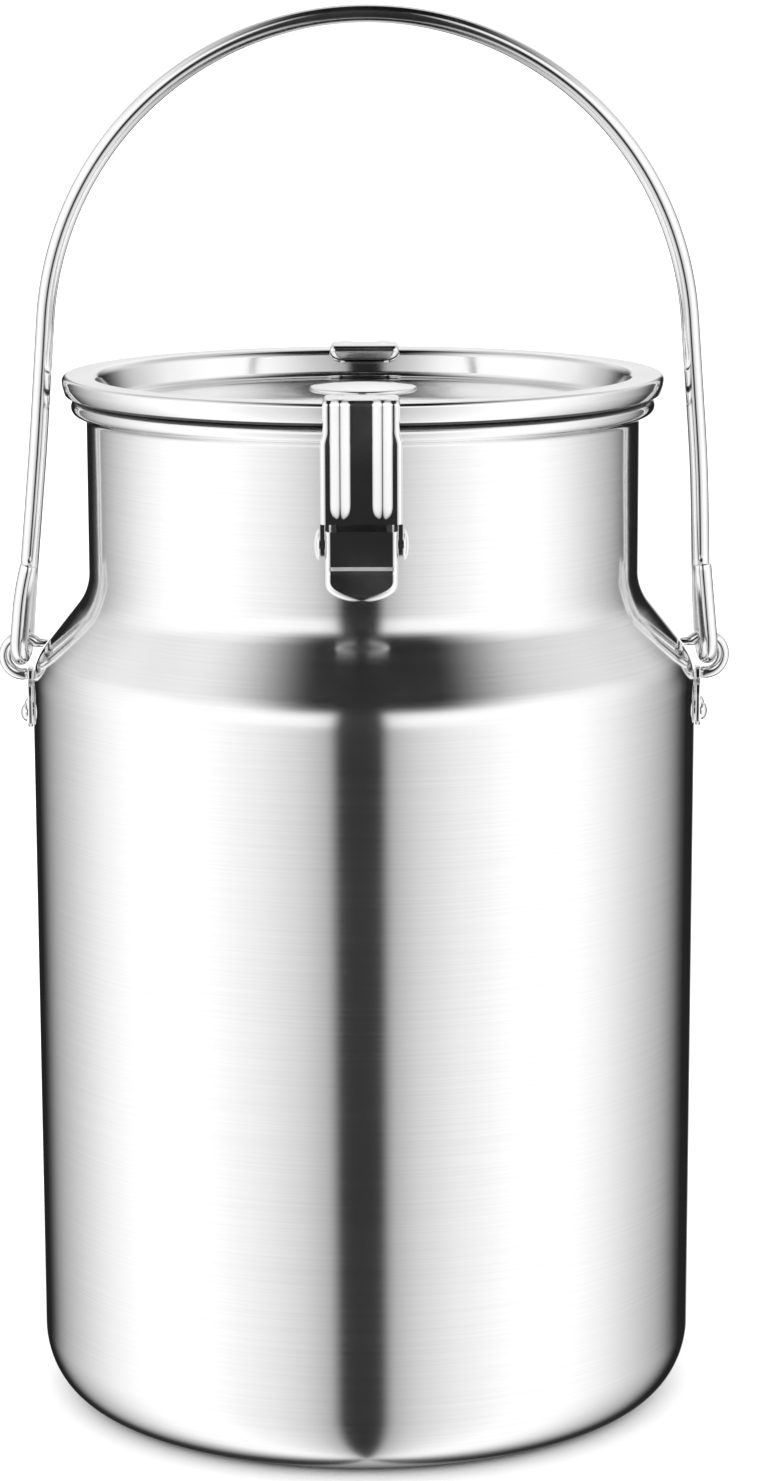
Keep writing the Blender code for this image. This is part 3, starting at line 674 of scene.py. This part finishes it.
def build_ear(side, facing):
    """Plate, two rivets and wire loop of one side, drawn on +X and turned to the way it faces."""
    turn = Matrix.Rotation(facing, 4, "Z")
    build_ear_plate(side, turn)
    aside = math.asin(RIVET_SIDE / BODY)
    front = -aside if side == "right" else aside
    for which, angle in (("front", front), ("rear", -front)):
        node = "ear_rivet_{}_{}".format(side, which)
        made = revolve(rivet_outline(), 40, along_radius(facing + angle, RIVET_HEIGHT))
        finish("rivet_{}_{}".format(side, which), made, BRIGHT, "can", [node])
    loop = sweep(ear_path(), EAR_WIRE, 24, rest_on_shoulder)
    loop.transform(turn)
    finish("ear_wire_" + side, loop, BRIGHT, "can", ["ear_loop_" + side])


def eye_point(along, across, skew=0.0):
    """A point of one eye or leg: along the leg and across it, measured from the hinge."""
    out = BAIL_OUT - along * math.sin(BAIL_LEAN) - EYE_YAW * across / EYE_RADIUS
    out += skew * smooth(along, 0.0, BAIL_SKEW_HEIGHT)
    return (out, across, BAIL_HEIGHT + along * math.cos(BAIL_LEAN))


def bail_half(skew, curl):
    """Tail, eye and leg of one side, ending where the arch begins."""
    path = []
    for step in range(9):
        along = TAIL_LENGTH * (1.0 - step / 10.0)
        across = along * math.tan(EYE_TAPER) - EYE_RADIUS / math.cos(EYE_TAPER)
        bent = max(along - TAIL_CURL_START, 0.0) / (TAIL_LENGTH - TAIL_CURL_START)
        out, across, height = eye_point(along, across)
        path.append((out - curl * bent * bent, across, height))
    turns = 28
    for step in range(turns + 1):
        angle = math.pi - EYE_TAPER + (math.pi + 2.0 * EYE_TAPER) * step / turns
        path.append(eye_point(EYE_RADIUS * math.sin(angle), EYE_RADIUS * math.cos(angle)))
    rise = EYE_RADIUS / math.cos(EYE_TAPER)
    for step in range(1, 19):
        along = LEG_START + (LEG_END - LEG_START) * step / 18.0
        straight = rise - along * math.tan(EYE_TAPER)
        across = 0.5 * (straight + math.sqrt(straight * straight + LEG_EASE)) - 0.05
        path.append(eye_point(along, across, skew))
    path.append(eye_point(LEG_STRAIGHT, 0.0, skew))
    return path


def build_bail():
    """Bail bent a little to one side, its left tail curling in towards the leg."""
    right = bail_half(BAIL_SKEW, 0.0)
    lean = math.degrees(BAIL_LEAN)
    bend = arc((BAIL_SKEW, ARCH_CENTRE), (ARCH_RADIUS, ARCH_RADIUS), lean, 180.0 - lean, 120)
    arch = [(out, 0.0, up) for out, up in bend]
    left = [(-out, across, up) for out, across, up in bail_half(-BAIL_SKEW, LEFT_TAIL_CURL)]
    left.reverse()
    finish("bail_wire", sweep(right + arch + left, BAIL_WIRE, 28), BRIGHT, "bail", ["bail_handle"], 50.0)


# ---------------------------------------------------------------- latches


def latch_place(facing):
    """Map (out from the axis, height, sideways) of a latch to the can's own directions."""
    def place(out, height, sideways):
        return (sideways * facing, -out * facing, height)
    return place


def measured(path):
    """Path points, each with the normal to the left of its way and its distance along the path."""
    stations = []
    length = 0.0
    for index, point in enumerate(path):
        here = Vector(point)
        before = Vector(path[max(index - 1, 0)])
        after = Vector(path[min(index + 1, len(path) - 1)])
        if index:
            length += (here - before).length
        along = (after - before).normalized()
        stations.append((here, Vector((-along.y, along.x)), length))
    return stations


def dense(path, longest):
    """The same path with points added so that no step is longer than a limit."""
    points = [path[0]]
    for start, end in zip(path, path[1:]):
        steps = max(1, math.ceil((Vector(end) - Vector(start)).length / longest))
        for step in range(1, steps + 1):
            share = step / steps
            points.append((start[0] + (end[0] - start[0]) * share, start[1] + (end[1] - start[1]) * share))
    return points


def rib_lift(out, height, sideways):
    """How far a pressed rib stands proud: a ridge with sloping flanks, low and round on the top."""
    across = (abs(sideways) - RIB_CENTRE) / RIB_HALF
    below = max(RIB_END + RIB_FOOT - height, 0.0) / RIB_FOOT
    above = max(height - HOOK_TOP + RIB_START, 0.0) / RIB_HALF
    distance = math.sqrt(across * across + below * below + above * above + RIB_CREST * RIB_CREST)
    on_face = smooth(out, HOOK_FACE - RIB_FADE[0], HOOK_FACE - RIB_FADE[1])
    ridge = RIB_RISE * max(1.0 - distance, 0.0) * on_face
    wave = RIB_TOP_RISE * (1.0 + math.cos(math.pi * min(abs(across), 1.0))) / 2.0
    on_top = smooth(height, HOOK_TOP - 0.9, HOOK_TOP - 0.1) * smooth(out, HOOK_CLAW + 2.0, HOOK_CLAW + 9.0)
    return ridge + wave * on_top


def hook_half_width(out, height):
    """Half the hook's width: wide where the flanges are, narrower above, rounded off at the claw."""
    half = HOOK_WIDE + (HOOK_NARROW - HOOK_WIDE) * smooth(height, *HOOK_NARROWING)
    if out < HOOK_CLAW + HOOK_BEND:
        rise = min(max((height - HOOK_CLAW_END) / CLAW_ROUND, 0.0), 1.0)
        half = CLAW_HALF + (half - CLAW_HALF) * math.sqrt(1.0 - (1.0 - rise) * (1.0 - rise))
    return half


def hook_sheet(made, place):
    """Claw, top bend and ribbed front of the hook, with its long edges turned back."""
    corners = [(HOOK_FACE, HOOK_BOTTOM, 0.0), (HOOK_FACE, HOOK_TOP, HOOK_BEND),
               (HOOK_CLAW, HOOK_TOP, HOOK_BEND), (HOOK_CLAW, HOOK_CLAW_END, 0.0)]
    path = dense(rounded(corners, 8), 0.8)
    columns = 64
    turned = 6
    rows = []
    for here, normal, _ in measured(path):
        half = hook_half_width(here.x, here.y)
        flat = half - SIDE_BEND
        section = []
        for step in range(turned):
            angle = math.radians(90.0 * (1.0 - step / turned))
            section.append((-flat - SIDE_BEND * math.sin(angle), SIDE_BEND * (1.0 - math.cos(angle))))
        for step in range(columns + 1):
            sideways = -flat + 2.0 * flat * step / columns
            section.append((sideways, -rib_lift(here.x, here.y, sideways)))
        section += [(-sideways, depth) for sideways, depth in reversed(section[:turned])]
        row = []
        for sideways, depth in section:
            point = here + normal * depth
            row.append(made.verts.new(place(point.x, point.y, sideways)))
        rows.append(row)
    for lower, upper in zip(rows, rows[1:]):
        join_rings(made, lower, upper, closed=False)


def thicken(piece):
    """Give a bent sheet its thickness, with painted shade (near-black steel) on its inner side and its fold
    matt.
    """
    for look in (SHADE_PAINTED_STEEL, MATT):
        piece.data.materials.append(look)
    modifier = piece.modifiers.new("sheet", "SOLIDIFY")
    modifier.material_offset = 1
    modifier.thickness = SHEET * MM
    modifier.offset = -1.0


def hook_flange_outline():
    """Side of the hook as (out from the axis, height): long, tapering down to the pin's eye."""
    return rounded([
        (99.6, 330.6, 0.5), (99.6, 304.0, 4.0), (100.4, 297.6, 3.0), (95.2, 296.4, 3.0), (92.9, 300.6, 3.0),
        (96.6, 314.0, 20.0), (99.0, 323.0, 6.0), (99.0, 330.6, 0.3),
    ], 6)


def lever_cheek_outline():
    """Side of the lever as (out from the axis, height): from above the hook's pin to the tab's crease."""
    return rounded([
        (100.0, 305.8, 0.6), (99.4, 308.0, 1.0), (99.6, 312.2, 2.4), (94.6, 312.4, 2.4), (94.2, 308.6, 1.5),
        (93.8, 298.0, 2.4), (98.4, 293.6, 2.6), (100.2, 293.8, 0.8),
    ], 6)


def at_distance(stations, distance):
    """Point and normal of a measured path at a distance along it."""
    for (here, normal, near), (there, turned, far) in zip(stations, stations[1:]):
        if distance <= far:
            share = (distance - near) / max(far - near, 1e-6)
            return here.lerp(there, share), normal.lerp(turned, share).normalized()
    return stations[-1][0], stations[-1][1]


def tab_outline(length, inset):
    """Half of the lever's outline seen flat, as (distance along it, half width), set in by an inset."""
    half = LEVER_HALF - inset
    straight = length - TAB_ROUND
    steps = math.ceil(straight / 0.3)
    outline = [(straight * step / steps, half) for step in range(steps)]
    return outline + arc((straight, 0.0), (TAB_ROUND - inset, half), 90.0, 0.0, 16)


def groove_depth(height, sideways, half):
    """Depth of the groove pressed across the lever where its finger tab begins."""
    across = 1.0 - smooth(abs(sideways), half - 0.4, half)
    distance = min(abs(height - LEVER_CREASE) / GROOVE_HALF, 1.0)
    return GROOVE_DEPTH * (1.0 + math.cos(math.pi * distance)) / 2.0 * across


def lever_sheet(made, place):
    """Face and flared finger tab of the lever, its edge turned back all the way round."""
    corners = [(LEVER_FACE, LEVER_TOP, 0.0), (LEVER_FACE, LEVER_CREASE - 1.0, 2.5),
               (TAB_END[0], TAB_END[1], 0.0)]
    stations = measured(dense(rounded(corners, 6), 0.5))
    length = stations[-1][2]

    def vertex(distance, sideways, depth):
        here, normal = at_distance(stations, distance)
        point = here - normal * depth
        return made.verts.new(place(point.x, point.y, sideways))

    turns = 6
    sides = {-1.0: [], 1.0: []}
    tips = []
    for turn in range(turns + 1):
        angle = math.radians(88.0 * (1.0 - turn / turns))
        outline = tab_outline(length, LEVER_RIM * (1.0 - math.sin(angle)))
        depth = LEVER_RIM * (1.0 - math.cos(angle))
        tips.append(vertex(outline[-1][0], 0.0, depth))
        for side, rows in sides.items():
            row = [vertex(distance, side * half, depth) for distance, half in outline[:-1]]
            rows.append(row + [tips[-1]])
    for rows in sides.values():
        for lower, upper in zip(rows, rows[1:]):
            join_rings(made, lower, upper, closed=False)
    columns = 14
    flat = tab_outline(length, LEVER_RIM)
    across = []
    for index, (distance, half) in enumerate(flat[:-1]):
        row = [sides[-1.0][-1][index]]
        height = at_distance(stations, distance)[0].y
        inner = max(half - FLAT_EDGE, half * 0.9)
        for step in range(1, columns):
            sideways = inner * (2.0 * (step - 1) / (columns - 2) - 1.0)
            row.append(vertex(distance, sideways, groove_depth(height, sideways, half)))
        across.append(row + [sides[1.0][-1][index]])
    for lower, upper in zip(across, across[1:]):
        join_rings(made, lower, upper, closed=False)
    for first, second in zip(across[-1], across[-1][1:]):
        made.faces.new((first, second, tips[-1]))
    for face in made.faces:
        middle = face.calc_center_median()
        if abs(middle.z - LEVER_CREASE) < GROOVE_HALF and abs(middle.x) < LEVER_HALF - LEVER_RIM:
            face.material_index = FOLD_MATERIAL


def build_sheet_piece(name, sheet, outline, span, place, body, node):
    """A stamped part: a bent sheet given thickness, with a pair of flat side pieces."""
    front = bmesh.new()
    sheet(front, place)
    outward = Vector(place(1.0, 0.0, 0.0))
    piece = finish(name, front, BRIGHT, body, [node], 40.0, outward=outward)
    thicken(piece)
    soften(piece, 0.25)
    cheeks = bmesh.new()
    for side in (-1.0, 1.0):
        low, high = sorted((side * span[0], side * span[1]))
        slab(cheeks, outline, low, high, place)
    finish(name + "_cheeks", cheeks, BRIGHT, body, [node], 30.0, 0.35)


def pin_outline(head):
    """Cross pin as (radius, distance along it), with a domed head at each end when asked for."""
    if not head:
        half = LEVER_HALF
        return [(0.0, half), (PIN_RADIUS - 0.3, half), (PIN_RADIUS, half - 0.3), (PIN_RADIUS, 0.3 - half),
                (PIN_RADIUS - 0.3, -half), (0.0, -half)]
    inner = HOOK_WIDE + 0.3
    near = [(0.0, PIN_HALF)] + arc((0.0, inner), (PIN_HEAD, PIN_HALF - inner), 82.0, 0.0, 10)
    near.append((PIN_RADIUS, inner))
    return near + [(radius, -height) for radius, height in reversed(near)]


def build_pin(name, head, pivot, facing, body, node):
    lie_down = Matrix.Rotation(math.radians(90.0), 4, "Y")
    centre = (0.0, pivot[1] * facing, pivot[2])
    made = revolve(pin_outline(head), 48, Matrix.Translation(centre) @ lie_down)
    finish(name, made, BRIGHT, body, [node])


def build_latch(label, facing):
    """Hook, lever and their two cross pins: facing 1 is the front latch, -1 the rear one."""
    place = latch_place(facing)
    lever = label + "_lever"
    hook = label + "_hook"
    build_sheet_piece(hook + "_plate", hook_sheet, hook_flange_outline(),
                      (HOOK_WIDE - HOOK_CHEEK, HOOK_WIDE), place, hook, label + "_latch_hook")
    build_sheet_piece(lever + "_plate", lever_sheet, lever_cheek_outline(),
                      (LEVER_HALF - SHEET, LEVER_HALF), place, lever, label + "_latch_lever")
    lever_body = body_of(label + "_lever_pin")
    hook_body = body_of(label + "_hook_pin")
    build_pin(label + "_pivot_pin", False, LEVER_PIVOT, facing, lever_body, label + "_lever_pin")
    build_pin(label + "_claw_pin", True, HOOK_PIVOT, facing, hook_body, label + "_hook_pin")


def body_of(node):
    return frame["nodes"][node]["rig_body"]


def finish_kept_nodes():
    """Give the CAD nodes that stay in view the same steels as the rest."""
    for node in ("knob_washer", "knob_screw", "front_latch_bracket", "rear_latch_bracket"):
        item = frame["nodes"][node]
        for slot in item.material_slots:
            slot.material = BRIGHT


# ---------------------------------------------------------------- studio


FLOOR_SIZE = 60.0
FLOOR_DROP = 0.0002
SHADE_DROP = 0.0001
SHADE_IN = (BODY - 15.0) * MM
SHADE_OUT = (BODY - 1.0) * MM
CAMERA_PLACE = (0.00846, -1.3721, 0.47564)
CAMERA_PITCH = 0.216
CAMERA_ROLL = math.radians(-0.15)
CAMERA_LENS = 101.33
CAMERA_SHIFT = 0.0929
# How bright the studio is by angle away from the front, as (share of a half turn, brightness)
FRONT_LOW = [(0.0, 0.02), (0.038, 0.02), (0.052, 0.28), (0.060, 0.42), (0.078, 0.50), (0.11, 0.63),
             (0.18, 0.80), (0.30, 1.0)]
FRONT_HIGH = [(0.0, 0.02), (0.038, 0.02), (0.060, 0.75), (0.10, 0.92), (0.20, 1.0)]
DARK_BEHIND = [(0.0, 1.0), (0.46, 1.0), (0.54, 0.86), (0.63, 0.64), (0.68, 0.52), (0.72, 0.42),
               (0.748, 0.33), (0.778, 0.21), (0.80, 0.12), (0.82, 0.055), (0.85, 0.014), (0.935, 0.014),
               (0.965, 0.76)]
LIGHT_BEHIND = [(0.0, 1.0), (0.46, 1.0), (0.60, 0.86), (0.70, 0.66), (0.82, 0.62), (0.92, 0.80),
                (1.0, 0.92)]
CEILING = 0.82
OPEN_STUDIO = (1.45, 1.45, 1.45, 1.0)
STRIP_TURN = 0.021
LOPSIDED = 0.022
BLACK = (0.0, 0.0, 0.0, 1.0)
STUDIO_GAIN = 1.1
# Where the studio changes, as X, Y or Z of a direction of length 1
STRIP_CHANGE = (0.05, 0.30)
BEHIND_CHANGE = (0.05, 0.42)
CEILING_START = (0.50, 0.70)
TOP_START = (0.50, 0.72)
TOP_MIDDLE = 0.06
TOP_HALF = (0.26, 0.74)
TOP_BACK = (0.12, 0.36)


def build_world():
    """White studio whose reflections hold a dark strip in front, a dark top and dark far corners."""
    world = bpy.data.worlds.new("studio")
    bpy.context.scene.world = world
    nodes = Nodes(world)
    where = nodes.add("ShaderNodeTexCoord").outputs["Generated"]
    parts = nodes.add("ShaderNodeSeparateXYZ", {0: where}).outputs
    forward = nodes.math("MULTIPLY", parts["Y"], -1.0)
    turn = nodes.math("ARCTAN2", parts["X"], forward)
    share = nodes.math("DIVIDE", nodes.math("ABSOLUTE", nodes.math("ADD", turn, STRIP_TURN)), math.pi)
    level = nodes.span(parts["Z"], *STRIP_CHANGE)
    strip = nodes.blend(level, nodes.ramp(share, FRONT_LOW), nodes.ramp(share, FRONT_HIGH))
    raised = nodes.span(parts["Z"], *BEHIND_CHANGE)
    right = nodes.math("ADD", share, nodes.math("MULTIPLY", parts["X"], LOPSIDED))
    behind = nodes.blend(raised, nodes.ramp(right, DARK_BEHIND), nodes.ramp(right, LIGHT_BEHIND))
    around = nodes.math("MULTIPLY", strip, behind)
    side = nodes.math("ABSOLUTE", nodes.math("SUBTRACT", parts["X"], TOP_MIDDLE))
    aside = nodes.span(side, *TOP_HALF, 1.0, 0.0)
    top = nodes.span(parts["Z"], *TOP_START)
    ahead = nodes.span(parts["Y"], *TOP_BACK, 1.0, 0.0)
    dark = nodes.math("MULTIPLY", nodes.math("MULTIPLY", aside, top), ahead)
    ceiling = nodes.span(parts["Z"], *CEILING_START, 0.0, 1.0 - CEILING)
    mirrored = nodes.blend(dark, nodes.blend(ceiling, around, BLACK), BLACK)
    glossy = nodes.add("ShaderNodeLightPath").outputs["Is Glossy Ray"]
    seen = nodes.blend(glossy, OPEN_STUDIO, mirrored)
    light = nodes.add("ShaderNodeBackground", {"Color": seen, "Strength": STUDIO_GAIN})
    nodes.add("ShaderNodeOutputWorld", {"Surface": light.outputs[0]})


def studio_piece(name, made, look, drop):
    """Turn a bmesh in metres into a piece of the studio, a little below the can's foot."""
    mesh = bpy.data.meshes.new(name)
    made.to_mesh(mesh)
    made.free()
    mesh.materials.append(look)
    piece = bpy.data.objects.new(name, mesh)
    bpy.context.scene.collection.objects.link(piece)
    piece.location.z = -drop
    return piece


def build_floor():
    """Pale floor that catches the can's contact shadow and stays out of reflections."""
    made = bmesh.new()
    bmesh.ops.create_grid(made, x_segments=2, y_segments=2, size=FLOOR_SIZE / 2.0)
    look = bpy.data.materials.new("pale_floor")
    nodes = Nodes(look)
    nodes.surface({"Base Color": (0.93, 0.93, 0.93, 1.0), "Roughness": 0.9, "Specular IOR Level": 0.0})
    floor = studio_piece("floor", made, look, FLOOR_DROP)
    floor.visible_glossy = False


def build_floor_shade():
    """The floor's shaded foot as the can mirrors it: a dark round spot, fading outwards."""
    made = bmesh.new()
    bmesh.ops.create_circle(made, cap_ends=True, segments=96, radius=SHADE_OUT)
    look = bpy.data.materials.new("floor_shade")
    nodes = Nodes(look)
    where = nodes.add("ShaderNodeTexCoord").outputs["Object"]
    distance = nodes.add("ShaderNodeVectorMath", {0: where}, operation="LENGTH").outputs["Value"]
    fade = nodes.span(distance, SHADE_IN, SHADE_OUT)
    dark = nodes.add("ShaderNodeEmission", {"Color": (0.03, 0.03, 0.03, 1.0)})
    clear = nodes.add("ShaderNodeBsdfTransparent")
    mixed = nodes.add("ShaderNodeMixShader", {0: fade, 1: dark.outputs[0], 2: clear.outputs[0]})
    nodes.add("ShaderNodeOutputMaterial", {"Surface": mixed.outputs[0]})
    shade = studio_piece("floor_shade", made, look, SHADE_DROP)
    shade.visible_camera = False
    shade.visible_diffuse = False
    shade.visible_shadow = False


def build_camera():
    """Camera in front of the can, just above the bail's height and looking slightly down."""
    data = bpy.data.cameras.new("camera")
    camera = bpy.data.objects.new("camera", data)
    bpy.context.scene.collection.objects.link(camera)
    data.lens = CAMERA_LENS
    data.shift_y = CAMERA_SHIFT
    data.clip_end = 200.0
    level = Matrix.Rotation(math.pi / 2.0 - CAMERA_PITCH, 4, "X")
    roll = Matrix.Rotation(CAMERA_ROLL, 4, "Z")
    camera.matrix_world = Matrix.Translation(CAMERA_PLACE) @ level @ roll
    bpy.context.scene.camera = camera


build_camera()
build_world()
build_floor()
build_floor_shade()
build_can()
build_lid()
build_ear("right", 0.0)
build_ear("left", math.pi)
build_bail()
build_latch("front", 1.0)
build_latch("rear", -1.0)
finish_kept_nodes()
bpy.context.scene.view_settings.view_transform = "Standard"
